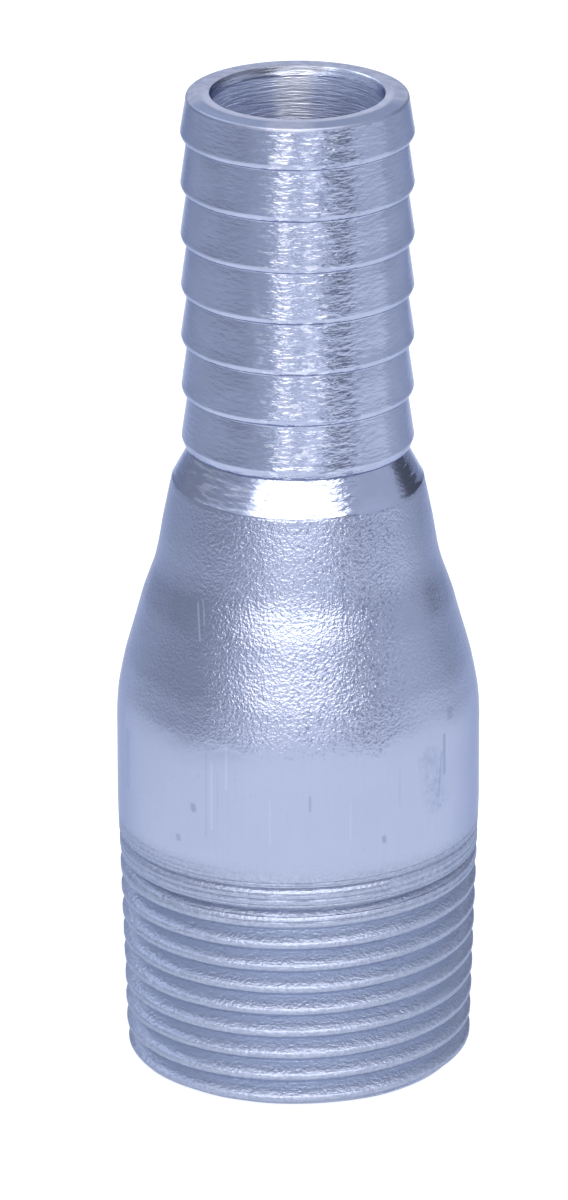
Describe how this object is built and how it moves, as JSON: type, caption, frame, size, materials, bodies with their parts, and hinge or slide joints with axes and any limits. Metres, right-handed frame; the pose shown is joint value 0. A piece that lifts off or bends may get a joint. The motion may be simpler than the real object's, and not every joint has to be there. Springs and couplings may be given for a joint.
{
  "type": "hose barb tail",
  "caption": "Reducing steel hose tail: a barbed hose shank swaged down from a pipe body with a tapered male pipe thread and a bore right through.",
  "frame": {"origin": "centre of the face of the threaded end, on the axis", "axes": "+Z along the axis, from the threaded end towards the hose end; +X and +Y are only fixed by the start of the thread"},
  "size_m": [0.0334, 0.0334, 0.0929],
  "materials": {
    "zinc_plated_steel": "bright zinc plating with a faint blue cast over turned, swaged and plain pipe surfaces"
  },
  "bodies": {
    "root": {"hose_barb_tail": "zinc_plated_steel"}
  },
  "joints": []
}
